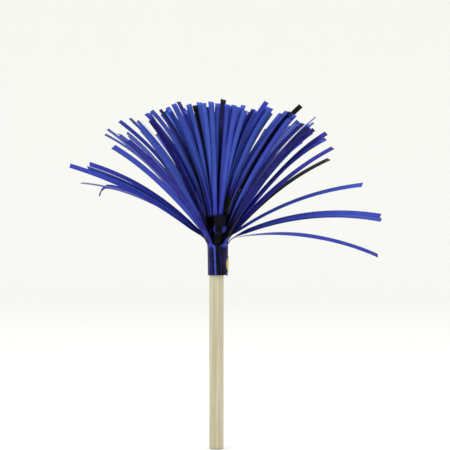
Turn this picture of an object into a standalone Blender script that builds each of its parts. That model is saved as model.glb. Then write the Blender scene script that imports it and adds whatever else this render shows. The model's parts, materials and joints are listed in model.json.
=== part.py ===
"""A cheer pom pom on a wooden stick: fringed metallic film wound round the stick's top end.

Frame: the origin is the centre of the stick's bottom end, +Z runs up the stick, +X is the thick
side of the film winding, where the sticker seals it, and +Y is the back, where the staples are.
"""
from math import cos, inf, pi, radians, sin, sqrt, tan

import bmesh
import bpy
from mathutils import Matrix, Vector

MM = 0.001

# The stick, a standard half-inch dowel
DOWEL_DIAMETER = 12.7 * MM
DOWEL_LENGTH = 203.2 * MM
DOWEL_CHAMFER = 0.5 * MM

# The collar: the uncut headers of three fringed film sheets, wound one over the other
GAP = 0.3 * MM
COLLAR_BOTTOM = 154.7 * MM
COLLAR_TOP = 181.1 * MM
COLLAR_TAPER = 0.4 * MM
MIDDLE_RADIUS = 8.15 * MM
MIDDLE_OFFSET = 0.5 * MM
OUTER_RADIUS = 9.4 * MM
OUTER_OFFSET = 1.2 * MM

# The innermost header stands past the stick's end and opens into the throat of the pom
THROAT_WALL = 0.35 * MM
THROAT_TOP = 207.0 * MM
THROAT_FLARE = 2.6 * MM
THROAT_RINGS = 8

# The round sticker that seals the film's loose end
STICKER_DIAMETER = 14.3 * MM
STICKER_THICKNESS = 0.25 * MM
STICKER_HEIGHT = 164.5 * MM

# The staples that fix the headers to the stick
STAPLE_WIRE = 0.5 * MM
STAPLE_CROWN = 9.0 * MM
STAPLE_LEG = 6.0 * MM
STAPLE_CORNER = 0.5 * MM
STAPLES = {"staple_lower": (100, 163.0 * MM), "staple_upper": (80, 174.5 * MM)}

# The streamers: 3/16 inch wide, the film drawn thicker than it is
STREAMER_WIDTH = 4.76 * MM
STREAMER_LENGTH = 147 * MM
FILM = 0.2 * MM
ROOT_WIDTH = 3.0 * MM
ROOT_HEIGHT = 2.0 * MM
ROOT_LIFT = 0.8 * MM
GATHERED_LENGTH = 26 * MM
BEND_LENGTH = 12 * MM

# How many sections a streamer is drawn with, and how much closer they stand near its root
STREAMER_STEPS = 8
STEP_POWER = 1.3

# How far a streamer droops between its root's bend and its tip, in degrees, what is added where
# it points left or right, and how much of the droop comes before it leans by its chord's angle
DROOP = 17
SIDEWAYS_DROOP = 8
SIDEWAYS_POWER = 1.5
DROOP_BEFORE_CHORD = 0.4

# Side locks leave the collar's top, all round but for a wide opening at the front. For each
# layer: the first streamer's lean, the step to the next, and what is added sideways. The turn is
# how far a streamer turns over where it points straight to the left or right. All are in degrees
SIDE_COUNT = 9
SIDE_FIRST = -34
SIDE_PITCH = 32
SIDE_RADIUS = 8.55 * MM
SIDE_ROOT_LEAN = 12
SIDE_SPREAD = (-9, 0, 9)
SIDE_TURN = 50
SIDE_LEANS = {"inner": (28.5, 2.2, 1.5), "outer": (36, 2.4, 1.5)}
SIDE_LONGEST = 0.965
SIDE_TRIM = 0.013

# Crown locks leave the throat's rim, all round
CROWN_COUNT = 12
CROWN_FIRST = -97.5
CROWN_PITCH = 30
CROWN_RADIUS = 9.3 * MM
CROWN_ROOT_LEAN = 10
CROWN_SPREAD = (-8, 0, 8)
CROWN_TURN = 30
CROWN_LEANS = {"inner": (15.5, 2.2, 2), "outer": (23, 2.2, 2)}
CROWN_TIP_HEIGHT = 308 * MM
CROWN_TRIM = 0.02

# Half the step from the inner to the outer lock of one tuft
LOCK_STEP = 0.7 * MM

# Loose streamers by the azimuth of their root. Each streamer has a sideways sweep, its lean past
# the root's bend and at its tip, how far it turns over, and its share of the full length
LOOSE_RADIUS = 10.5 * MM
LOOSE_ROOT_LEAN = 28
LOOSE = {
    "loose_streamer_left_high": (238, [(-4, 45, 69, -20, 0.98), (-11, 48, 72, -20, 0.98)]),
    "loose_streamer_left_middle": (206, [(9, 46, 76, -35, 0.95), (-8, 50, 74, -35, 0.97)]),
    "loose_streamer_left_low": (146, [(8, 51, 85, -40, 1), (-2, 55, 88, -40, 0.98)]),
    "loose_streamer_right_low": (14, [(4, 78, 114, 50, 1.02)]),
    "loose_streamer_right_middle": (-18, [(-4, 63, 99, 50, 0.99)]),
    "loose_streamer_right_high": (-46, [(14, 56, 85, 50, 1)]),
    "loose_streamer_right_upper": (40, [(-10, 41, 65, 35, 1), (-5, 45, 69, 35, 0.98)]),
}

WOOD = (0.58, 0.5, 0.33)
BLUE_FILM = (0.03, 0.045, 0.34)
NAVY_FILM = (0.012, 0.015, 0.11)
STEEL = (0.6, 0.6, 0.62)
GOLD = (0.5, 0.4, 0.08)


def clear_scene():
    for thing in list(bpy.data.objects):
        bpy.data.objects.remove(thing)


def collection(name):
    made = bpy.data.collections.new(name)
    bpy.context.scene.collection.children.link(made)
    return made


def material(name, colour, roughness, metallic):
    made = bpy.data.materials.new(name)
    made.use_nodes = True
    shader = made.node_tree.nodes["Principled BSDF"]
    shader.inputs["Base Color"].default_value = (*colour, 1)
    shader.inputs["Roughness"].default_value = roughness
    shader.inputs["Metallic"].default_value = metallic
    made.diffuse_color = (*colour, 1)
    return made


def film_material(name, colour=BLUE_FILM):
    return material(name + "_film", colour, 0.25, 0.9)


def part(name, data, made_of, group):
    """A named object of one sub-part, in its group, with its material."""
    made = bpy.data.objects.new(name, data)
    data.materials.append(made_of)
    group.objects.link(made)
    return made


def cutter(name, mesh, group):
    made = bpy.data.objects.new(name, mesh)
    made.hide_render = True
    made.display_type = "WIRE"
    group.objects.link(made)
    return made


def boolean(target, tool, operation="DIFFERENCE"):
    change = target.modifiers.new(tool.name, "BOOLEAN")
    change.operation = operation
    change.object = tool


def smooth(mesh):
    mesh.shade_smooth()
    mesh.set_sharp_from_angle(angle=radians(35))


def cone_mesh(name, low_radius, high_radius, bottom, top, caps=True, sides=48):
    """A cylinder or cone standing on the Z axis between two heights."""
    bm = bmesh.new()
    bmesh.ops.create_cone(
        bm,
        cap_ends=caps,
        segments=sides,
        radius1=low_radius,
        radius2=high_radius,
        depth=top - bottom,
        matrix=Matrix.Translation((0, 0, (bottom + top) / 2)),
    )
    mesh = bpy.data.meshes.new(name)
    bm.to_mesh(mesh)
    bm.free()
    smooth(mesh)
    return mesh


def eased(t):
    t = min(max(t, 0), 1)
    return t * t * (3 - 2 * t)


def dowel(parts):
    mesh = cone_mesh("handle_dowel", DOWEL_DIAMETER / 2, DOWEL_DIAMETER / 2, 0, DOWEL_LENGTH)
    made = part("handle_dowel", mesh, material("dowel_wood", WOOD, 0.65, 0), parts)
    ends = made.modifiers.new("ends", "BEVEL")
    ends.width = DOWEL_CHAMFER
    ends.segments = 2
    ends.limit_method = "ANGLE"
    ends.angle_limit = radians(60)
    return made


def wound_header(name, radius, offset, bore_radius, bore_offset, parts, cutters):
    """A header wound thicker towards +X: a tapered cylinder with an off-centre bore."""
    colour = film_material(name, NAVY_FILM)
    mesh = cone_mesh(name, radius - COLLAR_TAPER, radius, COLLAR_BOTTOM, COLLAR_TOP)
    made = part(name, mesh, colour, parts)
    made.location.x = offset
    bore_mesh = cone_mesh(
        name + "_bore",
        bore_radius - (COLLAR_TAPER if bore_offset else 0),
        bore_radius,
        COLLAR_BOTTOM,
        COLLAR_TOP,
    )
    bore = cutter(name + "_bore", bore_mesh, cutters)
    bore.location.x = bore_offset
    bore.scale.z = 1.5
    bore.location.z = -(COLLAR_BOTTOM + COLLAR_TOP) / 4
    boolean(made, bore)
    return made


def throat_header(parts):
    """The innermost header: straight along the stick, then opening out above the collar."""
    radius = DOWEL_DIAMETER / 2 + GAP + THROAT_WALL
    flare_from = COLLAR_TOP + ROOT_LIFT + ROOT_HEIGHT
    heights = [COLLAR_BOTTOM + GAP, flare_from]
    rise = (THROAT_TOP - flare_from) / THROAT_RINGS
    heights += [flare_from + rise * (i + 1) for i in range(THROAT_RINGS)]
    profile = [
        (radius + THROAT_FLARE * eased((z - flare_from) / (THROAT_TOP - flare_from)), 0, z)
        for z in reversed(heights)
    ]
    mesh = bpy.data.meshes.new("header_inner")
    mesh.from_pydata(profile, [(i, i + 1) for i in range(len(profile) - 1)], [])
    made = part("header_inner", mesh, film_material("header_inner", NAVY_FILM), parts)
    turn = made.modifiers.new("turn", "SCREW")
    turn.steps = turn.render_steps = 40
    turn.use_merge_vertices = True
    turn.merge_threshold = 0.00001
    wall = made.modifiers.new("wall", "SOLIDIFY")
    wall.thickness = THROAT_WALL
    wall.offset = -1
    return made


def surface_distance(azimuth, height):
    """How far the collar's outer surface is from the stick's axis, in one direction."""
    radius = OUTER_RADIUS - COLLAR_TAPER * (COLLAR_TOP - height) / (COLLAR_TOP - COLLAR_BOTTOM)
    across = OUTER_OFFSET * sin(azimuth)
    return OUTER_OFFSET * cos(azimuth) + sqrt(radius**2 - across**2)


def staple(name, azimuth, height, parts):
    """A wire staple with its crown upright against the film and its legs in the wood."""
    curve = bpy.data.curves.new(name, "CURVE")
    curve.dimensions = "3D"
    curve.bevel_depth = STAPLE_WIRE / 2
    curve.bevel_resolution = 2
    curve.use_fill_caps = True
    half = STAPLE_CROWN / 2
    upper = [(-STAPLE_LEG, half), (-STAPLE_CORNER, half), (0, half - STAPLE_CORNER)]
    outline = upper + [(x, -z) for x, z in reversed(upper)]
    spline = curve.splines.new("POLY")
    spline.points.add(len(outline) - 1)
    for point, (x, z) in zip(spline.points, outline):
        point.co = (x, 0, z, 1)
    made = part(name, curve, material(name + "_steel", STEEL, 0.3, 1), parts)
    distance = surface_distance(azimuth, height) + GAP + STAPLE_WIRE / 2
    made.location = (distance * cos(azimuth), distance * sin(azimuth), height)
    made.rotation_euler.z = azimuth
    return made


def leg_cutters(wire, cutters):
    """Two straight holes around a staple's legs."""
    tools = []
    for side in (-1, 1):
        mesh = cone_mesh(
            wire.name + "_hole",
            STAPLE_WIRE / 2 + GAP,
            STAPLE_WIRE / 2 + GAP,
            -STAPLE_LEG - GAP,
            STAPLE_LEG,
            sides=12,
        )
        tool = cutter(f"{wire.name}_hole_{'upper' if side > 0 else 'lower'}", mesh, cutters)
        tool.location = wire.location + Vector((0, 0, side * STAPLE_CROWN / 2))
        tool.rotation_euler = (0, pi / 2, wire.rotation_euler.z)
        tools.append(tool)
    return tools


def sticker(parts, cutters):
    """A round sticker bent round the collar's thick side."""
    low = OUTER_RADIUS - COLLAR_TAPER + GAP
    high = OUTER_RADIUS + GAP
    mesh = cone_mesh("seal_sticker", low, high, COLLAR_BOTTOM, COLLAR_TOP, caps=False, sides=64)
    made = part("seal_sticker", mesh, material("sticker_paper", GOLD, 0.4, 0.2), parts)
    made.location.x = OUTER_OFFSET
    paper = made.modifiers.new("paper", "SOLIDIFY")
    paper.thickness = STICKER_THICKNESS
    paper.offset = 1
    disc = cone_mesh(
        "sticker_outline", STICKER_DIAMETER / 2, STICKER_DIAMETER / 2, 0, 2 * OUTER_RADIUS
    )
    outline = cutter("sticker_outline", disc, cutters)
    outline.location.z = STICKER_HEIGHT
    outline.rotation_euler.y = pi / 2
    boolean(made, outline, "INTERSECT")
    return made


def section(centre, lean, sweep, turn, width):
    """A streamer's cross-section: its film's normal, its width, its run and its centre."""
    run = Vector((sin(lean) * cos(sweep), sin(lean) * sin(sweep), cos(lean)))
    side = Matrix.Rotation(turn, 3, run) @ Vector((-sin(sweep), cos(sweep), 0))
    made = Matrix((side.cross(run) * FILM, side * width, run)).transposed().to_4x4()
    made.translation = centre
    return made


def streamer_sections(centre, root_lean, sweep, bent_lean, tip_lean, turn, length):
    """The sections of a streamer that bends at its root and then droops evenly to its tip."""
    sections = []
    done = 0
    for step in range(1, STREAMER_STEPS + 1):
        along = length * (step / STREAMER_STEPS) ** STEP_POWER
        middle = (done + along) / 2
        bend = (bent_lean - root_lean) * eased(middle / BEND_LENGTH)
        lean = root_lean + bend + (tip_lean - bent_lean) * middle / length
        turned = turn * eased(1.5 * along / length)
        width = ROOT_WIDTH + (STREAMER_WIDTH - ROOT_WIDTH) * eased(along / GATHERED_LENGTH)
        target = section(centre, lean, sweep * eased(along / BEND_LENGTH), turned, width)
        centre = centre + target.to_3x3().col[2] * (along - done)
        target.translation = centre
        sections.append(target)
        done = along
    return sections


def split_wide_walls(bm, top):
    """Splits both wide walls below a top face along matching diagonals, so turned film stays thin."""
    wide = sorted(top.edges, key=lambda edge: edge.calc_length())[2:]
    for edge, method in zip(wide, ("FIXED", "ALTERNATE")):
        walls = [wall for wall in edge.link_faces if wall is not top]
        bmesh.ops.triangulate(bm, faces=walls, quad_method=method)


def lock_mesh(name, root_lean, streamers):
    """One lock of film: a gathered root, and a streamer drawn up from every second layer of it.

    The hinge line is the root's lower edge, along Y; the film leans towards +X.
    """
    layers = 2 * len(streamers) - 1
    bm = bmesh.new()
    bmesh.ops.create_grid(bm, x_segments=layers, y_segments=1, size=0.5)
    bmesh.ops.scale(bm, vec=(layers * FILM, ROOT_WIDTH, 1), verts=bm.verts)
    block = bmesh.ops.extrude_face_region(bm, geom=bm.faces[:], use_keep_orig=True)["geom"]
    risen = [item for item in block if isinstance(item, bmesh.types.BMVert)]
    rise = Vector((ROOT_HEIGHT * tan(root_lean), 0, ROOT_HEIGHT))
    bmesh.ops.translate(bm, vec=rise, verts=risen)
    tops = [item for item in block if isinstance(item, bmesh.types.BMFace)]
    tops.sort(key=lambda face: face.calc_center_median().x)
    for face, shape in zip(tops[::2], streamers):
        centre = face.calc_center_median()
        last = section(centre, 0, 0, 0, ROOT_WIDTH)
        for target in streamer_sections(centre, root_lean, *shape):
            face = bmesh.ops.extrude_discrete_faces(bm, faces=[face])["faces"][0]
            bmesh.ops.transform(bm, matrix=target @ last.inverted(), verts=face.verts)
            split_wide_walls(bm, face)
            last = target
    bmesh.ops.recalc_face_normals(bm, faces=bm.faces)
    mesh = bpy.data.meshes.new(name)
    bm.to_mesh(mesh)
    bm.free()
    return mesh


def hinge(name, radius, azimuth, height, group):
    """The empty on a tuft's hinge: its X points outwards and its Y lies along the hinge."""
    made = bpy.data.objects.new(name + "_hinge", None)
    made.location = (radius * cos(azimuth), radius * sin(azimuth), height)
    made.rotation_euler.z = azimuth
    made.empty_display_size = 0.005
    group.objects.link(made)
    return made


def lock(name, root_lean, streamers, offset, pivot, parts):
    """A lock on its hinge. Each streamer's four angles are in degrees and come before its length."""
    shapes = [(*(radians(angle) for angle in angles), length) for *angles, length in streamers]
    made = part(name, lock_mesh(name, radians(root_lean), shapes), film_material(name), parts)
    made.parent = pivot
    made.location.x = offset
    return made


def fan(azimuth, leans, spread, turn, lengths, rise=inf):
    """The streamers of one lock: the fan leans, droops and turns over further sideways.

    Streamers turn over so that their faces show at the front of the pom pom: the upper faces of
    those behind the stick and the lower faces of those before it. A streamer's straight line
    from root to tip leans by the chord angle; its length is cut so that it ends no higher than
    its share of the rise.
    """
    first, step, sideways_lean = leans
    across = cos(radians(azimuth))
    sideways = abs(across) ** SIDEWAYS_POWER
    droop = DROOP + SIDEWAYS_DROOP * sideways
    turn *= across if sin(radians(azimuth)) > -0.1 else -across
    order = -1 if turn < 0 else 1
    streamers = []
    for rank, (sweep, share) in enumerate(zip(spread, lengths)):
        chord = first + rank * step + sideways_lean * sideways
        length = share * min(STREAMER_LENGTH, rise / cos(radians(chord)))
        bent = chord - DROOP_BEFORE_CHORD * droop
        streamers.append((order * sweep, bent, bent + droop, turn, length))
    return streamers


def side_tuft(index, parts):
    """Two locks, one outside the other, from the collar's top."""
    name = f"side_lock_{index + 1}"
    azimuth = SIDE_FIRST + SIDE_PITCH * index
    pivot = hinge(name, SIDE_RADIUS, radians(azimuth), COLLAR_TOP + ROOT_LIFT, parts)
    lengths = [SIDE_LONGEST - SIDE_TRIM * ((index * 2 + rank * 3) % 5) for rank in range(3)]
    for layer, side in (("inner", -1), ("outer", 1)):
        streamers = fan(azimuth, SIDE_LEANS[layer], SIDE_SPREAD, SIDE_TURN, lengths)
        lock(f"{name}_{layer}", SIDE_ROOT_LEAN, streamers, side * LOCK_STEP, pivot, parts)


def crown_tuft(index, parts):
    """Two locks from the throat's rim, cut to end level with the tips of the side locks."""
    name = f"crown_lock_{index + 1}"
    azimuth = CROWN_FIRST + CROWN_PITCH * index
    height = THROAT_TOP + ROOT_LIFT
    pivot = hinge(name, CROWN_RADIUS, radians(azimuth), height, parts)
    lengths = [1 - CROWN_TRIM * ((index * 3 + rank * 2) % 4) for rank in range(3)]
    for layer, side in (("inner", -1), ("outer", 1)):
        rise = CROWN_TIP_HEIGHT - height
        streamers = fan(azimuth, CROWN_LEANS[layer], CROWN_SPREAD, CROWN_TURN, lengths, rise)
        lock(f"{name}_{layer}", CROWN_ROOT_LEAN, streamers, side * LOCK_STEP, pivot, parts)


def loose_lock(name, azimuth, shapes, parts):
    """A streamer, or a few that cling together, hanging away from the rest."""
    pivot = hinge(name, LOOSE_RADIUS, radians(azimuth), COLLAR_TOP + ROOT_LIFT, parts)
    streamers = [(*angles, share * STREAMER_LENGTH) for *angles, share in shapes]
    lock(name, LOOSE_ROOT_LEAN, streamers, 0, pivot, parts)


def build():
    clear_scene()
    parts = collection("cheer_pom_pom")
    cutters = collection("cutters")
    stick = dowel(parts)
    inner = throat_header(parts)
    inner_clear = DOWEL_DIAMETER / 2 + THROAT_WALL + 2 * GAP
    middle = wound_header(
        "header_middle", MIDDLE_RADIUS, MIDDLE_OFFSET, inner_clear, 0, parts, cutters
    )
    middle_clear = MIDDLE_RADIUS + GAP
    outer = wound_header(
        "header_outer", OUTER_RADIUS, OUTER_OFFSET, middle_clear, MIDDLE_OFFSET, parts, cutters
    )
    for name, (azimuth, height) in STAPLES.items():
        wire = staple(name, radians(azimuth), height, parts)
        for tool in leg_cutters(wire, cutters):
            for layer in (stick, inner, middle, outer):
                boolean(layer, tool)
    sticker(parts, cutters)
    for index in range(SIDE_COUNT):
        side_tuft(index, parts)
    for index in range(CROWN_COUNT):
        crown_tuft(index, parts)
    for name, (azimuth, shapes) in LOOSE.items():
        loose_lock(name, azimuth, shapes, parts)


build()
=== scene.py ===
"""The looks of the cheer pom pom: thin metallised film, wound and fringed, on a wooden stick.

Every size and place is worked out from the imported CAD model; lengths are in metres.
"""

import json
import random
from math import atan2, cos, degrees, hypot, pi, radians, sin

import bmesh
import bpy
from mathutils import Matrix, Vector, noise


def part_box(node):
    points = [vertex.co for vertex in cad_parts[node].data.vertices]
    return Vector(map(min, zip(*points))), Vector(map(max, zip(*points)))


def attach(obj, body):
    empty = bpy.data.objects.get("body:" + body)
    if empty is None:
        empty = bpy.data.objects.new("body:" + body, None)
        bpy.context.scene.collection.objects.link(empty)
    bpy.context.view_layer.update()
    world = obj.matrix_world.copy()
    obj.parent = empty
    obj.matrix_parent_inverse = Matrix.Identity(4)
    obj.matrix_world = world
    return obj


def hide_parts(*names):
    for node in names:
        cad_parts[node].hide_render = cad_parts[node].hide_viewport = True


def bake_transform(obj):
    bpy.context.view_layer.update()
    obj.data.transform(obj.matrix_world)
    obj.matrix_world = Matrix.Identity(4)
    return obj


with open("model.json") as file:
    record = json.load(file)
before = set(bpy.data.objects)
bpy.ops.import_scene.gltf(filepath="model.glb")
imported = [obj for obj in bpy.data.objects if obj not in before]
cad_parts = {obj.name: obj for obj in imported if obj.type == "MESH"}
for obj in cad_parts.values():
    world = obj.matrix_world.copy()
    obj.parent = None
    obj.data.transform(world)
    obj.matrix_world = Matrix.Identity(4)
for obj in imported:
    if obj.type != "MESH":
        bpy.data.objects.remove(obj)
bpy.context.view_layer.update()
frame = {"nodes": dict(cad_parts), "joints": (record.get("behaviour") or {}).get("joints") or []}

MM = 0.001
HINGES = {joint["child"]: Vector(joint["pos_m"]) for joint in frame["joints"]}

# What the film is: real streamers are a twentieth of a millimetre thick, drawn a little thicker
FILM = 0.12 * MM
STREAMER_WIDTH = 4.76 * MM
STREAMER_LENGTH = 147 * MM

# A gathered root: its streamers' width, how deep they lie, and how far the two locks are apart
ROOT_WIDTH = {"side": 3.9 * MM, "crown": 4.5 * MM, "loose": 3.6 * MM}
ROOT_LAYERS = 1.1 * MM
LOCK_STEP = 0.7 * MM

# Along a streamer: its tail below the edge, and where it has bent over and has its full width
TAIL = 4.5 * MM
BEND = 12 * MM
GATHERED = 26 * MM

# How its droop grows towards the tip, where a hooked end begins, and how finely it is drawn
DROOP_POWER = 1.35
HOOK_FROM = 0.87
STREAMER_ROWS = 30
STREAMER_COLUMNS = 4
ROW_POWER = 1.3

# How much streamers differ: waves and wandering in degrees, with their phase from root to tip in
# radians, cupping in 1/m, and the skew of cut ends in metres
WAVE = (0.5, 3)
WAVE_LENGTHS = 2.2 * pi
WANDER = (0.5, 2.5)
WANDER_LENGTHS = 1.8 * pi
LOOSE_STEADINESS = 0.35
CUP = (-35, 55)
SKEW = 0.6 * MM

# How often each painted light value is drawn, in a hundred: 0 is black, 1 is the brightest blue.
# Dark values stand for painted shade and dark reflection, bright ones for painted reflection of the
# bright room
PAINTED_LIGHT_ODDS = {0.12: 2, 0.28: 5, 0.45: 7, 0.64: 15, 0.82: 32, 0.95: 39}

# For each ring and layer: how many streamers a lock has, and the least lean, in degrees
LOCKS = {
    "side_inner": (3, 27),
    "side_outer": (3, 34),
    "crown_inner": (3, 7),
    "crown_outer": (3, 21),
}

# The most that a streamer leans at its very root, in degrees
ROOT_LEAN = {"side": 12, "crown": 10, "loose": 28}

# A streamer turns this much of the way to facing the front, and less so at the sides of the pom
# and behind. It has turned over by this distance from its root
FACING = 0.64
FACING_LOST_SIDEWAYS = 0.25
FACING_LOST_BEHIND = 0.3
TURNED_BY = 58 * MM

# How much that turn differs between streamers, in degrees, and what is added behind
TURN_SPREAD = 14
TURN_SPREAD_BEHIND = 26

# In degrees: how far streamers droop, what is added at the sides, and how much they differ
DROOP = 17
DROOP_SIDEWAYS = 10
DROOP_SPREAD = 4
LEAN_SPREAD = 0.8
SWEEP_SPREAD = 2.5

# The share of its droop that lies between a streamer's lean past the bend and its mean lean
DROOP_AT_CHORD = 0.36

# How much of its room a lock takes up sideways, and the same for the panel at the front
SWING = 0.8
PANEL_SWING = 1.9

# How long streamers are cut, as a share of their room, and the same for the panel
CUTS = (0.92, 0.99)
PANEL_CUT = 0.98

# At the sides, a lock's second streamer lies this much nearer its third, which leaves gaps
PAIRED = 0.27

# Where the film is in shadow: over this length from the root, and this much at the edges
SHADED_LENGTH = 42 * MM
EDGE_SHADE = 0.2

# How dark roots are at the front, beside the throat on its right, and elsewhere
SHADOW_FRONT = 0.35
SHADOW_BESIDE_THROAT = 1.3
SHADOW = 0.65

# A tuft stands at the middle of the front or back if the sine of its heading is beyond this,
# and its crown streamers' painted light is raised by this much of the way to the brightest blue,
# which lessens the painted shade on them
MIDDLE = 0.85
BRIGHTENED = 0.72

# A side tuft whose heading's sine is beyond this is behind, and has one streamer fewer
BEHIND = 0.7

# How far inside its root a crown streamer's tail lies, and the steps from one loose streamer of
# a bunch to the next
CROWN_TUCK = 1.6 * MM
LOOSE_TAIL_STEP = 0.15 * MM
LOOSE_STEP = 0.4 * MM

# Streamers that stand out at the front: painted light (low for painted dark reflection and shade),
# length against the others, and lean added
STANDING_OUT = {
    ("crown_lock_7_inner", 0): (0.15, 1.06, 0),
    ("crown_lock_7_inner", 1): (0.45, 1.065, 0),
    ("crown_lock_9_inner", 1): (0.45, 1.05, 0),
    ("crown_lock_5_inner", 1): (0.5, 1.05, 0),
    ("crown_lock_12_inner", 0): (0.02, 0.99, 0),
    ("crown_lock_5_outer", 2): (0.02, 1.11, 8),
    ("side_lock_1_inner", 0): (0.15, 0.96, 0),
    ("side_lock_1_outer", 0): (0.3, 0.96, 0),
}

# Locks at the left where a streamer is missing, which leaves a gap
GAPPED = {
    "crown_lock_10_inner",
    "crown_lock_10_outer",
    "crown_lock_11_outer",
    "crown_lock_12_outer",
    "side_lock_8_inner",
    "side_lock_9_inner",
    "side_lock_9_outer",
}

# The collar, read from the headers of the CAD
collar_low, collar_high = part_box("header_outer")
COLLAR_BOTTOM = collar_low.z
COLLAR_TOP = collar_high.z
COLLAR_RADIUS = (collar_high.y - collar_low.y) / 2
COLLAR_OFFSET = (collar_high.x + collar_low.x) / 2
middle_low, middle_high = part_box("header_middle")
MIDDLE_RADIUS = (middle_high.y - middle_low.y) / 2
MIDDLE_OFFSET = (middle_high.x + middle_low.x) / 2
inner_low, inner_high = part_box("header_inner")
THROAT_TOP = inner_high.z
THROAT_RADIUS = inner_high.x
_, stick_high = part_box("handle_dowel")
STICK_RADIUS = stick_high.x
STICK_LENGTH = stick_high.z

# The stick's softened ends, the ring inside each end's edge, and its unevenness from sanding
STICK_EDGE = 0.6 * MM
STICK_FLAT = 3 * MM
SANDED = 0.07 * MM

# The collar's film: folds and ripples, flat under the sticker, and a free corner at its end
COLLAR_FILM = 0.1 * MM
COLLAR_SHIFT = 0.1 * MM
COLLAR_TAPER = 0.4 * MM
FOLD_SLANT = 0.12
FOLD_HEIGHT = 0.2 * MM
RIPPLE = 0.12 * MM
UNDER_STICKER = 40
EDGE_WANDER = 0.5 * MM
CORNER_DROP = 1.3 * MM

# Its opening at the front: how much lower the top edge is there, and the lips on either side,
# which run between these angles from the front and carry a painted highlight
OPENING_DEPTH = 2.6 * MM
LIP = 0.9 * MM
LIP_START = 14
LIP_END = 46
LIP_HIGHLIGHT = 0.75

# The throat's film: where it starts to open above the collar, the jags of its rim, how crumpled
# it is, and how far it bulges to the right
THROAT_FILM = 0.15 * MM
FLARE_FROM = COLLAR_TOP + 2.8 * MM
JAGS = (2.4 * MM, 1.2 * MM)
PLEATS = 0.2
DENTS = 0.9
CRUSH = 4
BULGE = 3 * MM

# A round fold in the throat, seen as two crescents of painted highlight, left and right with their
# own strengths
CRESCENT_HEADING = radians(285)
CRESCENT_HEIGHT = 14.5 * MM
CRESCENT_RADIUS = 4.2 * MM
CRESCENT_WIDTH = 1.4 * MM
CRESCENT_RAISED = 0.5 * MM
CRESCENT_HIGHLIGHTS = (0.55, 0.35)

# The sticker's paper, its place on the film, how far it is turned and how much one edge lifts
STICKER_PAPER = 0.12 * MM
STICKER_GAP = 0.38 * MM
STICKER_TURN = radians(3)
STICKER_LIFT = 0.15 * MM


def eased(t):
    t = min(max(t, 0), 1)
    return t * t * (3 - 2 * t)


def mixed(a, b, share):
    return a + (b - a) * share


def round_noise(angle, spread, along):
    """Noise that joins up round a circle and changes along the stick: spread is how often."""
    return noise.noise(Vector((spread * cos(angle), spread * sin(angle), along)))


def object_from(bm, name, material, thickness=0, offset=0):
    """Turns a bmesh into a linked object with a material, thickened if it is a sheet."""
    mesh = bpy.data.meshes.new(name)
    bm.to_mesh(mesh)
    bm.free()
    mesh.materials.append(material)
    made = bpy.data.objects.new(name, mesh)
    bpy.context.scene.collection.objects.link(made)
    if thickness:
        sheet = made.modifiers.new("thickness", "SOLIDIFY")
        sheet.thickness = thickness
        sheet.offset = offset
    return made


def fix_to_stick(made, node):
    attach(made, "stick")
    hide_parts(node)


# ---------------------------------------------------------------- camera, light and floor

SENSOR = 36
CAMERA_DISTANCE = 1.3
VIEW_WIDTH = 0.4023
VIEW_CENTRE = Vector((0.0076, 0, 0.1994))


def camera():
    data = bpy.data.cameras.new("camera")
    data.sensor_width = SENSOR
    data.lens = SENSOR * CAMERA_DISTANCE / VIEW_WIDTH
    data.clip_end = 20
    made = bpy.data.objects.new("camera", data)
    bpy.context.scene.collection.objects.link(made)
    made.location = VIEW_CENTRE - Vector((0, CAMERA_DISTANCE, 0))
    made.rotation_euler = (pi / 2, 0, 0)
    bpy.context.scene.camera = made


def soft_light(name, place, aim, size, power):
    data = bpy.data.lights.new(name, "AREA")
    data.shape = "RECTANGLE"
    data.size, data.size_y = size
    data.energy = power
    made = bpy.data.objects.new(name, data)
    bpy.context.scene.collection.objects.link(made)
    made.location = place
    direction = Vector(aim) - Vector(place)
    made.rotation_euler = direction.to_track_quat("-Z", "Y").to_euler()


def studio():
    """Softboxes all round in a pale room, so the film is lit evenly."""
    soft_light("key_left", (-0.95, -0.75, 0.75), (0, 0, 0.22), (0.7, 1.0), 5)
    soft_light("fill_right", (1.1, -0.5, 0.5), (0, 0, 0.22), (0.5, 0.9), 3)
    soft_light("overhead", (0, -0.1, 1.5), (0, 0, 0.2), (1.6, 1.2), 3)
    soft_light("front", (0, -1.6, 0.9), (0, 0, 0.2), (1.6, 0.8), 3.5)
    world = bpy.data.worlds.new("room")
    bpy.context.scene.world = world
    world.use_nodes = True
    background = world.node_tree.nodes["Background"]
    background.inputs["Color"].default_value = (0.97, 0.99, 1, 1)
    background.inputs["Strength"].default_value = 1.05
    bpy.context.scene.view_settings.view_transform = "Standard"


def backdrop():
    """A pale round floor that curves up into a wall all the way round."""
    radius, fillet, height, sides = 3.6, 0.9, 1.5, 96
    profile = [(0.3, 0), (radius - fillet, 0)]
    profile += [
        (radius - fillet + fillet * sin(a), fillet - fillet * cos(a))
        for a in (pi / 2 * i / 16 for i in range(1, 17))
    ]
    profile.append((radius, height))
    bm = bmesh.new()
    rings = [
        [
            bm.verts.new((r * cos(2 * pi * i / sides), r * sin(2 * pi * i / sides), z))
            for i in range(sides)
        ]
        for r, z in profile
    ]
    bm.faces.new(rings[0])
    for low, high in zip(rings, rings[1:]):
        for i in range(sides):
            j = (i + 1) % sides
            bm.faces.new((low[i], high[i], high[j], low[j]))
    paper = Nodes("backdrop_paper")
    paper.set(roughness=0.9, base=(0.918, 0.912, 0.875), specular=0.1)
    made = object_from(bm, "backdrop", paper.material)
    made.data.shade_smooth()
    made.location.z = -0.5 * MM


# ---------------------------------------------------------------- materials


# The film's blue for each painted light value: the dark stops give painted shade and dark
# reflection, the bright ones painted reflection
FILM_COLOURS = [
    (0.0, (0.003, 0.003, 0.004)),
    (0.12, (0.007, 0.006, 0.045)),
    (0.35, (0.023, 0.021, 0.225)),
    (0.55, (0.031, 0.04, 0.33)),
    (0.75, (0.039, 0.06, 0.37)),
    (1.0, (0.045, 0.088, 0.395)),
]


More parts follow.
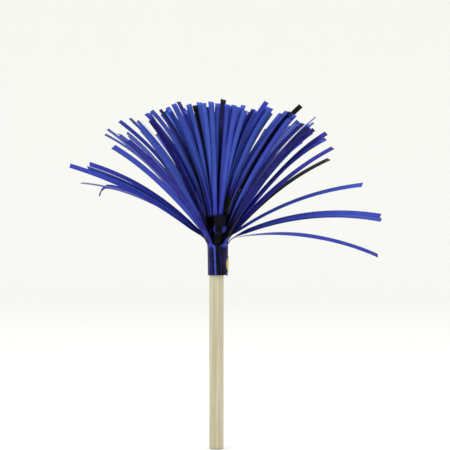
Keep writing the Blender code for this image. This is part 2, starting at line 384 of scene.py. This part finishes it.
class Nodes:
    """A Principled material and short ways to wire its procedural nodes."""

    SOCKETS = {
        "base": "Base Color",
        "roughness": "Roughness",
        "metallic": "Metallic",
        "specular": "Specular IOR Level",
        "coat": "Coat Weight",
        "coat_roughness": "Coat Roughness",
        "normal": "Normal",
    }

    def __init__(self, name):
        self.material = bpy.data.materials.new(name)
        self.material.use_nodes = True
        self.tree = self.material.node_tree
        self.shader = self.tree.nodes["Principled BSDF"]

    def set(self, **values):
        for key, value in values.items():
            socket = self.shader.inputs[self.SOCKETS[key]]
            socket.default_value = (*value, 1) if key == "base" else value

    def node(self, kind, inputs=(), **settings):
        made = self.tree.nodes.new(kind)
        for key, value in settings.items():
            setattr(made, key, value)
        for key, value in dict(inputs).items():
            if isinstance(value, bpy.types.NodeSocket):
                self.tree.links.new(value, made.inputs[key])
            else:
                made.inputs[key].default_value = value
        return made

    def place(self, source, scale):
        """Coordinates stretched by a scale for each axis: source is Object or UV."""
        coords = self.node("ShaderNodeTexCoord").outputs[source]
        mapping = self.node("ShaderNodeMapping", {"Vector": coords, "Scale": scale})
        return mapping.outputs["Vector"]

    def noise(self, vector, scale, detail=3, roughness=0.5, distortion=0.0):
        inputs = {
            "Vector": vector,
            "Scale": scale,
            "Detail": detail,
            "Roughness": roughness,
            "Distortion": distortion,
        }
        return self.node("ShaderNodeTexNoise", inputs).outputs["Fac"]

    def ramp(self, factor, stops):
        made = self.node("ShaderNodeValToRGB", {"Fac": factor})
        elements = made.color_ramp.elements
        while len(elements) < len(stops):
            elements.new(0.5)
        for element, (position, colour) in zip(elements, stops):
            element.position = position
            element.color = (*colour, 1)
        return made.outputs["Color"]

    def ranged(self, factor, low, high):
        inputs = {"Value": factor, "To Min": low, "To Max": high}
        return self.node("ShaderNodeMapRange", inputs).outputs["Result"]

    def mix(self, factor, a, b, blend="MIX"):
        made = self.node("ShaderNodeMix", data_type="RGBA", blend_type=blend)
        for socket, value in zip((made.inputs[0], made.inputs[6], made.inputs[7]), (factor, a, b)):
            if isinstance(value, bpy.types.NodeSocket):
                self.tree.links.new(value, socket)
            else:
                socket.default_value = value if isinstance(value, (int, float)) else (*value, 1)
        return made.outputs[2]

    def math(self, operation, a, b):
        made = self.node("ShaderNodeMath", operation=operation)
        for socket, value in zip(made.inputs, (a, b)):
            if isinstance(value, bpy.types.NodeSocket):
                self.tree.links.new(value, socket)
            else:
                socket.default_value = value
        return made.outputs["Value"]

    def attribute(self, name):
        return self.node("ShaderNodeAttribute", attribute_name=name).outputs["Fac"]

    def bump(self, height, strength, distance, under=None):
        inputs = {"Height": height, "Strength": strength, "Distance": distance}
        if under is not None:
            inputs["Normal"] = under
        return self.node("ShaderNodeBump", inputs).outputs["Normal"]

    def wire(self, output, key):
        self.tree.links.new(output, self.shader.inputs[self.SOCKETS[key]])


def film_material(name, roughness=0.38, crease=0.5):
    """Metallised film, dyed blue: soft buckles, slitting lines, and dark streamers among bright from
    painted shade and painted reflection.
    """
    film = Nodes(name)
    film.set(metallic=0.85, coat=0.04, coat_roughness=0.2, specular=0.2)
    streaks = film.noise(film.place("UV", (9000, 60, 1)), 0.12, 2)
    buckles = film.noise(film.place("UV", (1, 1, 1)), 110, 3, 0.5)
    wrinkles = film.noise(film.place("UV", (220, 900, 1)), 1, 3, 0.55, 0.4)
    uneven = film.ranged(buckles, -0.2, 0.16)
    # Each point's painted light, with random unevenness from the buckles, picks the film's blue
    painted_light = film.math("ADD", film.attribute("painted_light"), uneven)
    film.wire(film.ramp(painted_light, FILM_COLOURS), "base")
    film.wire(film.math("ADD", film.ranged(wrinkles, 0.0, 0.14), roughness - 0.06), "roughness")
    lines = film.bump(streaks, 0.12, 0.00006)
    soft = film.bump(buckles, 0.3 * crease, 0.0009, lines)
    film.wire(film.bump(wrinkles, 0.25 * crease, 0.0003, soft), "normal")
    return film.material


def wood_material():
    """Sanded birch: fine grain along the stick, broad pale bands and a few darker flecks."""
    wood = Nodes("dowel_birch")
    wood.set(specular=0.3)
    grain = wood.noise(wood.place("Object", (2600, 2600, 60)), 1, 5, 0.65, 0.3)
    bands = wood.noise(wood.place("Object", (330, 330, 9)), 1, 3, 0.5, 0.6)
    flecks = wood.noise(wood.place("Object", (4200, 4200, 240)), 1, 2, 0.5)
    pale = wood.ramp(
        bands,
        [(0.3, (0.4, 0.345, 0.24)), (0.52, (0.47, 0.43, 0.305)), (0.75, (0.53, 0.5, 0.36))],
    )
    fine = wood.ramp(grain, [(0.3, (0.82, 0.8, 0.74)), (0.62, (1, 1, 1))])
    dark = wood.ramp(flecks, [(0.27, (0.72, 0.64, 0.5)), (0.36, (1, 1, 1))])
    wood.wire(wood.mix(0.6, wood.mix(0.75, pale, fine, "MULTIPLY"), dark, "MULTIPLY"), "base")
    wood.wire(wood.ranged(grain, 0.5, 0.72), "roughness")
    wood.wire(wood.bump(grain, 0.35, 0.00012, wood.bump(bands, 0.2, 0.0003)), "normal")
    return wood.material


def sticker_material():
    """Satin gold foil paper with a faint embossed fibre and uneven patches of gold."""
    paper = Nodes("sticker_foil")
    paper.set(metallic=0.55, specular=0.4)
    fibre = paper.noise(paper.place("Object", (900, 900, 900)), 1, 4, 0.6)
    patches = paper.noise(paper.place("Object", (160, 160, 160)), 1, 2)
    paper.wire(
        paper.ramp(patches, [(0.3, (0.36, 0.29, 0.05)), (0.7, (0.56, 0.48, 0.13))]), "base"
    )
    paper.wire(paper.ranged(fibre, 0.3, 0.52), "roughness")
    paper.wire(paper.bump(fibre, 0.3, 0.0001), "normal")
    return paper.material


def steel_material():
    """Drawn zinc-coated wire: dull bright metal with fine scratches."""
    steel = Nodes("staple_wire")
    steel.set(metallic=1.0)
    scratches = steel.noise(steel.place("Object", (5000, 5000, 900)), 1, 3)
    steel.wire(steel.ramp(scratches, [(0.3, (0.42, 0.42, 0.43)), (0.7, (0.66, 0.66, 0.67))]), "base")
    steel.wire(steel.ranged(scratches, 0.22, 0.42), "roughness")
    steel.wire(steel.bump(scratches, 0.2, 0.00004), "normal")
    return steel.material


# ---------------------------------------------------------------- streamers


# Draws a streamer's painted light: dark for painted shade and dark reflection, bright for painted
# reflection
def drawn_painted_light(rng):
    return rng.choices(list(PAINTED_LIGHT_ODDS), list(PAINTED_LIGHT_ODDS.values()))[0] + rng.uniform(-0.05, 0.05)


class Streamer:
    """One ribbon in its tuft's own frame: X outwards, Y along the hinge, Z up."""

    def __init__(self, rng, ring, places, leans, sweep, turn, length, painted_light, depth, **loose):
        self.root, self.tail = places
        self.root_width = ROOT_WIDTH[ring]
        self.leans = [radians(a) for a in (min(ROOT_LEAN[ring], leans[0]), *leans)]
        self.sweep = radians(sweep)
        self.turn = radians(turn)
        self.length = length
        self.painted_light = painted_light
        self.depth = depth
        self.hook = radians(loose.get("hook", 0))
        self.turned_by = loose.get("turned_by", TURNED_BY)
        self.droop_power = 1 if loose else DROOP_POWER
        steady = LOOSE_STEADINESS if loose else 1
        self.wave = (rng.uniform(0, 2 * pi), radians(rng.uniform(*WAVE)) * steady)
        self.wander = (rng.uniform(0, 2 * pi), radians(rng.uniform(*WANDER)) * steady)
        self.cup = rng.uniform(*CUP)
        self.skew = rng.uniform(-SKEW, SKEW)

    def lean(self, s):
        """How far from upright the ribbon runs at this distance from its root, in radians."""
        low, bent, tip = self.leans
        share = s / self.length
        wave = self.wave[1] * sin(self.wave[0] + WAVE_LENGTHS * share) * eased(share)
        hooked = self.hook * eased((share - HOOK_FROM) / (1 - HOOK_FROM))
        droop = (tip - bent) * share**self.droop_power
        return low + (bent - low) * eased(s / BEND) + droop + wave + hooked

    def azimuth(self, s):
        """How far to the side of its tuft's heading the ribbon runs, in radians."""
        share = s / self.length
        wander = self.wander[1] * sin(self.wander[0] + WANDER_LENGTHS * share) * eased(share)
        return self.sweep * eased(s / BEND) + wander

    def sections(self, root_radius):
        """(place, normal, side, width, curvature, distance) for each row from tail to tip."""
        out = Vector((1, 0, 0))
        along_y = Vector((0, 1, 0))
        rows = []
        for share in (0, 0.5):
            place = Vector((mixed(self.tail, self.root, share), 0, -TAIL * (1 - share)))
            rows.append((place, out, along_y, self.root_width, 1 / root_radius, place.z))
        place = Vector((self.root, 0, 0))
        done = 0
        for row in range(STREAMER_ROWS + 1):
            s = self.length * (row / STREAMER_ROWS) ** ROW_POWER
            lean, heading = self.lean((s + done) / 2), self.azimuth((s + done) / 2)
            run = Vector((sin(lean) * cos(heading), sin(lean) * sin(heading), cos(lean)))
            place = place + run * (s - done)
            done = s
            side = Vector((-sin(heading), cos(heading), 0))
            side = Matrix.Rotation(self.turn * eased(s / self.turned_by), 3, run) @ side
            width = mixed(self.root_width, STREAMER_WIDTH, eased(s / GATHERED))
            curvature = mixed(1 / root_radius, self.cup, eased(s / GATHERED))
            rows.append((place, side.cross(run), side, width, curvature, s))
        return rows

    def build(self, bm, layers, root_radius):
        """Adds the ribbon's surface to the lock's mesh, with painted shade at its edges and deep
        inside.
        """
        uv, painted_light = layers
        grid = []
        rows = self.sections(root_radius)
        for index, (place, normal, side, width, curvature, s) in enumerate(rows):
            line = []
            shaded = self.painted_light * (1 - self.depth * (1 - eased(s / SHADED_LENGTH)))
            for column in range(STREAMER_COLUMNS + 1):
                across = width * (column / STREAMER_COLUMNS - 0.5)
                dip = curvature * across * across / 2
                point = place + side * across - normal * dip
                if index == len(rows) - 1:
                    point += side.cross(normal) * (self.skew * across / width)
                vert = bm.verts.new(point)
                vert[painted_light] = shaded - EDGE_SHADE * abs(2 * across / width) ** 4
                line.append((vert, across, s))
            grid.append(line)
        for low, high in zip(grid, grid[1:]):
            for a, b, c, d in zip(low, low[1:], high[1:], high):
                face = bm.faces.new([corner[0] for corner in (a, b, c, d)])
                face.smooth = True
                for loop, corner in zip(face.loops, (a, b, c, d)):
                    loop[uv].uv = (corner[1] + self.skew * 100, corner[2])


def standing(hinge):
    """The matrix that stands a tuft's own frame on its hinge, facing outwards."""
    turned = Matrix.Rotation(atan2(hinge.y, hinge.x), 4, "Z")
    return Matrix.Translation(hinge) @ turned


def lock_object(name, streamers, hinge, film):
    """Builds a lock's ribbons in world coordinates and thickens them to film."""
    bm = bmesh.new()
    layers = bm.loops.layers.uv.new("film"), bm.verts.layers.float.new("painted_light")
    for streamer in streamers:
        streamer.build(bm, layers, hypot(hinge.x, hinge.y))
    bmesh.ops.transform(bm, matrix=standing(hinge), verts=bm.verts)
    return object_from(bm, name, film, FILM)


def lock_reach(node, hinge):
    """A CAD lock's greatest lean and range of sweep, in degrees, its reach and how far it rises."""
    back = standing(hinge).inverted()
    points = [back @ v.co for v in frame["nodes"][node].data.vertices]
    reach = max(p.length for p in points)
    tips = [p for p in points if p.length > 0.9 * reach]
    leans = [degrees(atan2(hypot(p.x, p.y), p.z)) for p in tips]
    sweeps = [degrees(atan2(p.y, p.x)) for p in tips]
    return max(leans), min(sweeps), max(sweeps), reach, max(p.z for p in points)


def tail_radius(outer, share, azimuth):
    """Where a side streamer's tail lies between the wound headers, from the stick's axis."""
    middle = MIDDLE_RADIUS + MIDDLE_OFFSET * cos(azimuth)
    if outer:
        rim = COLLAR_RADIUS + COLLAR_OFFSET * cos(azimuth) - 0.5 * MM
        return mixed(middle + 0.25 * MM, rim, share)
    return mixed(STICK_RADIUS + 0.9 * MM, middle - 0.35 * MM, share)


def finish_lock(made, node):
    """Bakes a lock's placement into its mesh and hides the CAD lock it stands for."""
    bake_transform(made)
    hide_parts(node)


def facing(azimuth, lean):
    """How far a streamer would turn over, in degrees, to show its whole width at the front."""
    before = -1 if sin(azimuth) < -0.1 else 1
    turn = degrees(atan2(abs(cos(azimuth)), abs(sin(azimuth)) * cos(lean)))
    return turn * before * (1 if cos(azimuth) > 0 else -1)


def shadow_depth(azimuth):
    """How dark a tuft's roots are: least at the front, most beside the throat on its right."""
    if sin(azimuth) < -0.5 and cos(azimuth) > 0.5:
        return SHADOW_BESIDE_THROAT
    return SHADOW_FRONT if sin(azimuth) < -0.6 else SHADOW


def tuft(body, layer, rng, film):
    """One of a tuft's two locks: thin streamers, no two alike, in the space of the CAD's lock."""
    node = f"{body}_{layer}"
    ring = body.split("_")[0]
    hinge = HINGES[body]
    azimuth = atan2(hinge.y, hinge.x)
    sideways = abs(cos(azimuth)) ** 1.5
    count, least = LOCKS[f"{ring}_{layer}"]
    if ring == "side" and sin(azimuth) > BEHIND:
        count -= 1
    most, left, right, reach, rise = lock_reach(node, hinge)
    behind = eased((sin(azimuth) - 0.1) / 0.4)
    panel = ring == "crown" and layer == "inner" and sin(azimuth) < -MIDDLE
    share_turned = FACING * (1 - FACING_LOST_SIDEWAYS * sideways)
    lock_turn = share_turned * facing(azimuth, radians((least + most) / 2))
    lock_turn += rng.uniform(-TURN_SPREAD, TURN_SPREAD)
    order = -1 if lock_turn < 0 else 1
    ranks = list(range(count))
    if abs(cos(azimuth)) < 0.4:
        rng.shuffle(ranks)
    depth = shadow_depth(azimuth)
    streamers = []
    for rank, place in enumerate(ranks):
        share = (rank + 0.5) / count
        painted_light = drawn_painted_light(rng)
        # Painted shade lessened on crown streamers at the middle of the front and back
        if ring == "crown" and abs(sin(azimuth)) > MIDDLE:
            painted_light = mixed(painted_light, 1, BRIGHTENED)
        cut = rng.uniform(*CUTS)
        usual = (painted_light, PANEL_CUT if panel else cut, 0)
        painted_light, stretch, leaning = STANDING_OUT.get((node, rank), usual)
        paired = PAIRED * sideways**0.5 if rank == 1 else 0
        chord = mixed(least, most - 1, share + paired)
        chord += rng.uniform(-LEAN_SPREAD, LEAN_SPREAD) + leaning
        droop = DROOP + DROOP_SIDEWAYS * sideways + rng.uniform(-DROOP_SPREAD, DROOP_SPREAD)
        bent = max(chord - DROOP_AT_CHORD * droop, 1)
        swing = (right - left) / 2 * (2 * (place + 0.5) / count - 1) * order
        sweep = (left + right) / 2 + swing * (PANEL_SWING if panel else SWING)
        sweep += rng.uniform(-SWEEP_SPREAD, SWEEP_SPREAD)
        root = (share - 0.5) * ROOT_LAYERS + (LOCK_STEP if layer == "outer" else -LOCK_STEP)
        if ring == "side":
            tail = tail_radius(layer == "outer", share, azimuth) - hypot(hinge.x, hinge.y)
            root = min(root, tail + 0.3 * MM)
        else:
            tail = root - CROWN_TUCK
        turn = lock_turn * (1 - FACING_LOST_BEHIND * behind)
        turn += rng.uniform(-1, 1) * (TURN_SPREAD + TURN_SPREAD_BEHIND * behind)
        length = min(reach, rise / cos(radians(chord))) * stretch
        drawn = ((bent, bent + droop), sweep, turn, length, painted_light, depth)
        streamers.append(Streamer(rng, ring, (root, tail), *drawn))
    if node in GAPPED:
        streamers.pop(1)
    made = lock_object(f"{node}_streamers", streamers, hinge, film)
    finish_lock(made, node)


def ribbon(sweep, bent, tip, turn, share, painted_light, hook=0, turned_by=26 * MM):
    """A loose streamer: what every streamer has, and what only the loose ones have."""
    return {"sweep": sweep, "leans": (bent, tip), "turn": turn, "share": share, "painted_light": painted_light}, {
        "hook": hook,
        "turned_by": turned_by,
    }


# The loose streamers repeat the CAD's own bends: sweep, lean past the root, lean at the tip, how
# far it turns over, share of the full length, painted light (low for a painted dark reflection),
# hook at its end and where it has turned over
LOOSE = {
    "loose_streamer_left_high": [
        ribbon(-4, 43, 64, 38, 0.98, 0.45),
        ribbon(-11, 45, 67, 46, 0.98, 0.8),
    ],
    "loose_streamer_left_middle": [
        ribbon(9, 46, 76, -62, 0.95, 0.6),
        ribbon(8, 48, 77, -56, 0.94, 0.9),
        ribbon(-8, 50, 74, -60, 0.97, 0.7),
    ],
    "loose_streamer_left_low": [
        ribbon(8, 51, 85, -14, 1, 0.6),
        ribbon(-2, 52, 84, -58, 0.99, 0.55, hook=75),
    ],
    "loose_streamer_right_low": [ribbon(4, 78, 114, 50, 1.02, 0.7, turned_by=85 * MM)],
    "loose_streamer_right_middle": [
        ribbon(-4, 63, 99, 50, 0.99, 0.75),
        ribbon(-2, 65, 100, 38, 0.98, 0.95),
    ],
    "loose_streamer_right_high": [ribbon(14, 56, 85, 50, 1, 0.9)],
    "loose_streamer_right_upper": [
        ribbon(-10, 41, 65, 35, 1, 0.5),
        ribbon(-5, 45, 69, 28, 0.98, 0.04),
    ],
}


def loose_streamer(body, rng, film):
    """A loose bunch, whose ribbons are placed one by one after the photo."""
    hinge = HINGES[body]
    radius = hypot(hinge.x, hinge.y)
    azimuth = atan2(hinge.y, hinge.x)
    streamers = []
    for rank, (shape, loose) in enumerate(LOOSE[body]):
        tail = tail_radius(True, 1, azimuth) + rank * LOOSE_TAIL_STEP - 0.1 * MM - radius
        root = min(rank * LOOSE_STEP - 0.2 * MM, tail + 0.5 * MM)
        length = STREAMER_LENGTH * shape["share"] + 2 * MM
        # The 0.5 is how much painted shade darkens the roots
        drawn = (shape["leans"], shape["sweep"], shape["turn"], length, shape["painted_light"], 0.5)
        streamers.append(Streamer(rng, "loose", (root, tail), *drawn, **loose))
    made = lock_object(f"{body}_ribbon", streamers, hinge, film)
    finish_lock(made, body)


# ---------------------------------------------------------------- collar, throat, stick, sticker


def film_sheet(name, point, rows, columns, film, thickness, closed=False):
    """A sheet of film from a rule that gives each point, thickened."""
    bm = bmesh.new()
    uv = bm.loops.layers.uv.new("film")
    painted_light = bm.verts.layers.float.new("painted_light")
    grid = []
    for row in range(rows + 1):
        line = []
        for column in range(columns if closed else columns + 1):
            place, across, along, shade = point(row / rows, column / columns)
            vert = bm.verts.new(place)
            vert[painted_light] = shade
            line.append((vert, across, along))
        grid.append(line)
    for low, high in zip(grid, grid[1:]):
        pairs = list(zip(range(len(low)), range(1, len(low))))
        if closed:
            pairs.append((len(low) - 1, 0))
        for i, j in pairs:
            corners = (low[i], low[j], high[j], high[i])
            face = bm.faces.new([c[0] for c in corners])
            face.smooth = True
            for loop, corner in zip(face.loops, corners):
                loop[uv].uv = corner[1:]
    return object_from(bm, name, film, thickness, -1)


# Flattened folds round the collar: where each begins, in degrees, and its painted reflection, from
# black to bright
FOLDS = [
    (-180, 0.14), (-155, 0.2), (-123, 0.02), (-112, 0.85), (-101, 0.0), (-90, 0.0),
    (-77, 0.16), (-70, 0.0), (-57, 0.15), (-33, 0.22), (4, 0.25), (30, 0.6),
    (41, 0.12), (63, 0.42), (88, 0.05), (97, 0.75), (109, 0.3), (140, 0.12), (163, 0.5),
]


def fold_at(angle):
    """The painted reflection of the fold at an angle round the collar, and how far along that fold
    it is.
    """
    angle = (degrees(angle) + 180) % 360 - 180
    ends = [start for start, _ in FOLDS[1:]] + [180]
    for (start, painted_light), end in zip(FOLDS, ends):
        if start <= angle < end:
            return painted_light, (angle - start) / (end - start)
    return FOLDS[0][1], 0


def wound_collar(name, node, turns, start, film, depth):
    """Film wound round the stick in folds: a spiral whose last turn ends in a free edge.

    Its top edge is lowest at the front, where it opens, and turns out in a lip on either side.
    The depth is how much nearer to the stick the film begins than it ends.
    """
    low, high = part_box(node)
    radius, offset = (high.y - low.y) / 2, (high.x + low.x) / 2 + COLLAR_SHIFT

    def point(up, round_share):
        angle = start + 2 * pi * turns * (round_share - 1)
        painted_light, along = fold_at(angle + FOLD_SLANT * (up - 0.5))
        loose = eased((abs((degrees(angle) + 180) % 360 - 180) - UNDER_STICKER) / 12)
        fold = FOLD_HEIGHT * sin(pi * along) * loose
        ripple = round_noise(angle, 3, 60 * COLLAR_BOTTOM * up)
        r = radius - COLLAR_TAPER * (1 - up) - depth * (1 - round_share)
        r += (fold + RIPPLE * ripple * loose) * min(1, 6 * round_share)
        apart = abs((degrees(angle) + 270) % 360 - 180)
        near_top = eased((up - 0.9) / 0.1)
        lip = near_top * eased((apart - LIP_START) / 14) * (1 - eased((apart - LIP_END) / 20))
        corner = eased((round_share - 0.97) / 0.03) * (1 - up) ** 3
        edge = EDGE_WANDER * noise.noise(Vector((angle * 1.3, 7, 3))) * (1 - up)
        raised = near_top * OPENING_DEPTH * eased((apart - 12) / 36)
        height = mixed(COLLAR_BOTTOM, COLLAR_TOP, up) + edge + raised - corner * CORNER_DROP
        r += LIP * lip
        # Painted reflection of the folds, and a painted highlight on the lips
        shade = painted_light + 0.05 * noise.noise(Vector((angle * 5, 9, 90 * height))) + LIP_HIGHLIGHT * lip
        place = Vector((offset + r * cos(angle), r * sin(angle), height))
        return place, angle * radius, height, min(max(shade, 0), 1)

    made = film_sheet(name, point, 36, int(180 * turns), film, COLLAR_FILM)
    fix_to_stick(made, node)


def throat(film):
    """The crumpled cup of film above the stick's end: pleats that deepen towards a jagged rim,
    painted black for shade and dark reflection, with painted glints.
    """
    low = inner_low.z
    foot = STICK_RADIUS + 0.65 * MM
    rim = THROAT_RADIUS + 0.8 * MM

    def point(up, round_share):
        angle = 2 * pi * round_share
        jag = JAGS[0] * round_noise(angle, 2.6, 5) + JAGS[1] * round_noise(angle, 9, 8)
        height = mixed(low, THROAT_TOP + 0.5 * MM + jag * eased((up - 0.5) * 2), up)
        opening = (height - FLARE_FROM) / (THROAT_TOP - FLARE_FROM)
        aside = max(0, cos(angle + radians(35))) ** 2
        r = foot + (rim - foot) * eased(opening) + BULGE * aside * eased(1.25 * opening)
        front = eased((-sin(angle) - 0.45) / 0.4) * eased((height - COLLAR_TOP + 2 * MM) / (5 * MM))
        pleats = sin(9 * angle + 2.5 * sin(2 * angle)) + 0.5 * sin(17 * angle + 80 * height)
        dents = round_noise(angle, 4, 110 * height)
        crush = abs(round_noise(angle, 3, 90 * height))
        r += (PLEATS * pleats + DENTS * dents) * MM * eased(opening) + CRUSH * crush * front * MM
        # Painted highlights: glints from the noise and the crescents below; the rest of the throat
        # stays black, painted shade
        glint = round_noise(angle, 3.4, 100 * height + 2)
        across = (angle - CRESCENT_HEADING) * 9.5 * MM
        ring = max(hypot(across, height - COLLAR_TOP - CRESCENT_HEIGHT), 0.1 * MM)
        fold = eased(1 - abs(ring - CRESCENT_RADIUS) / CRESCENT_WIDTH) * (across / ring) ** 2
        r += CRESCENT_RAISED * fold
        shade = CRESCENT_HIGHLIGHTS[across >= 0] * fold + 1.2 * max(0, glint - 0.3)
        place = Vector((r * cos(angle), r * sin(angle), height))
        return place, angle * foot, height, shade

    made = film_sheet("throat_film", point, 64, 180, film, THROAT_FILM, closed=True)
    fix_to_stick(made, "header_inner")


def stick(wood):
    """The dowel, turned a little uneven by sanding, with softened ends."""
    edge, spans = STICK_EDGE, 40
    heights = [0, 0, edge * 0.3, edge]
    heights += [mixed(edge, STICK_LENGTH - edge, (i + 1) / spans) for i in range(spans)]
    heights += [STICK_LENGTH - edge * 0.3, STICK_LENGTH, STICK_LENGTH]
    end = [STICK_FLAT, edge * 0.7, edge * 0.2]
    insets = end + [0] * (spans + 1) + end[::-1]
    bm = bmesh.new()
    uv = bm.loops.layers.uv.new("bark")
    rings = []
    sides = 72
    for height, inset in zip(heights, insets):
        ring = []
        for i in range(sides):
            angle = 2 * pi * i / sides
            uneven = round_noise(angle, 2, 18 * height) * SANDED
            r = STICK_RADIUS - inset + min(uneven, 0)
            ring.append(bm.verts.new((r * cos(angle), r * sin(angle), height)))
        rings.append(ring)
    for low, high in zip(rings, rings[1:]):
        for i in range(sides):
            j = (i + 1) % sides
            face = bm.faces.new((low[i], low[j], high[j], high[i]))
            face.smooth = True
            for loop in face.loops:
                loop[uv].uv = (i / sides, loop.vert.co.z)
    bm.faces.new(list(reversed(rings[0])))
    bm.faces.new(rings[-1])
    fix_to_stick(object_from(bm, "stick_wood", wood), "handle_dowel")


def sticker(foil):
    """A thin round sticker bent round the collar, one edge lifting a little."""
    low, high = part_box("seal_sticker")
    centre = (low + high) / 2
    size = (high.z - low.z) / 2
    bend = high.x - COLLAR_OFFSET
    bm = bmesh.new()
    sides, steps, rings = 64, 8, []
    for r in (size * (k + 1) / steps for k in range(steps)):
        turns = (2 * pi * i / sides for i in range(sides))
        rings.append([bm.verts.new((r * cos(a), r * sin(a), 0)) for a in turns])
    middle = bm.verts.new((0, 0, 0))
    for i in range(sides):
        j = (i + 1) % sides
        bm.faces.new((middle, rings[0][i], rings[0][j]))
        for inner, outer in zip(rings, rings[1:]):
            bm.faces.new((inner[i], outer[i], outer[j], inner[j]))
    for vert in bm.verts:
        across, up = vert.co.x, vert.co.y
        angle = across / bend + STICKER_TURN
        lift = STICKER_LIFT * eased((across / size - 0.6) / 0.4)
        taper = COLLAR_TAPER * (COLLAR_TOP - centre.z - up) / (COLLAR_TOP - COLLAR_BOTTOM)
        r = COLLAR_RADIUS + STICKER_GAP - taper + lift
        vert.co = (COLLAR_OFFSET + r * cos(angle), r * sin(angle), centre.z + up)
    for face in bm.faces:
        face.smooth = True
    made = object_from(bm, "gold_sticker", foil, STICKER_PAPER, -1)
    fix_to_stick(made, "seal_sticker")


def build():
    camera()
    studio()
    backdrop()
    royal = film_material("streamer_film")
    glossy = film_material("collar_film", 0.3, 0.35)
    stick(wood_material())
    sticker(sticker_material())
    steel = steel_material()
    for name in ("staple_lower", "staple_upper"):
        wire = frame["nodes"][name]
        wire.data.materials.clear()
        wire.data.materials.append(steel)
    wound_collar("collar_outer_wrap", "header_outer", 1.25, -0.35, glossy, 0.25 * MM)
    wound_collar("collar_middle_wrap", "header_middle", 1.1, 2.0, glossy, 0.15 * MM)
    throat(glossy)
    rng = random.Random(88)
    for body in sorted(HINGES):
        if body.startswith("loose"):
            loose_streamer(body, rng, royal)
        else:
            tuft(body, "inner", rng, royal)
            tuft(body, "outer", rng, royal)


build()
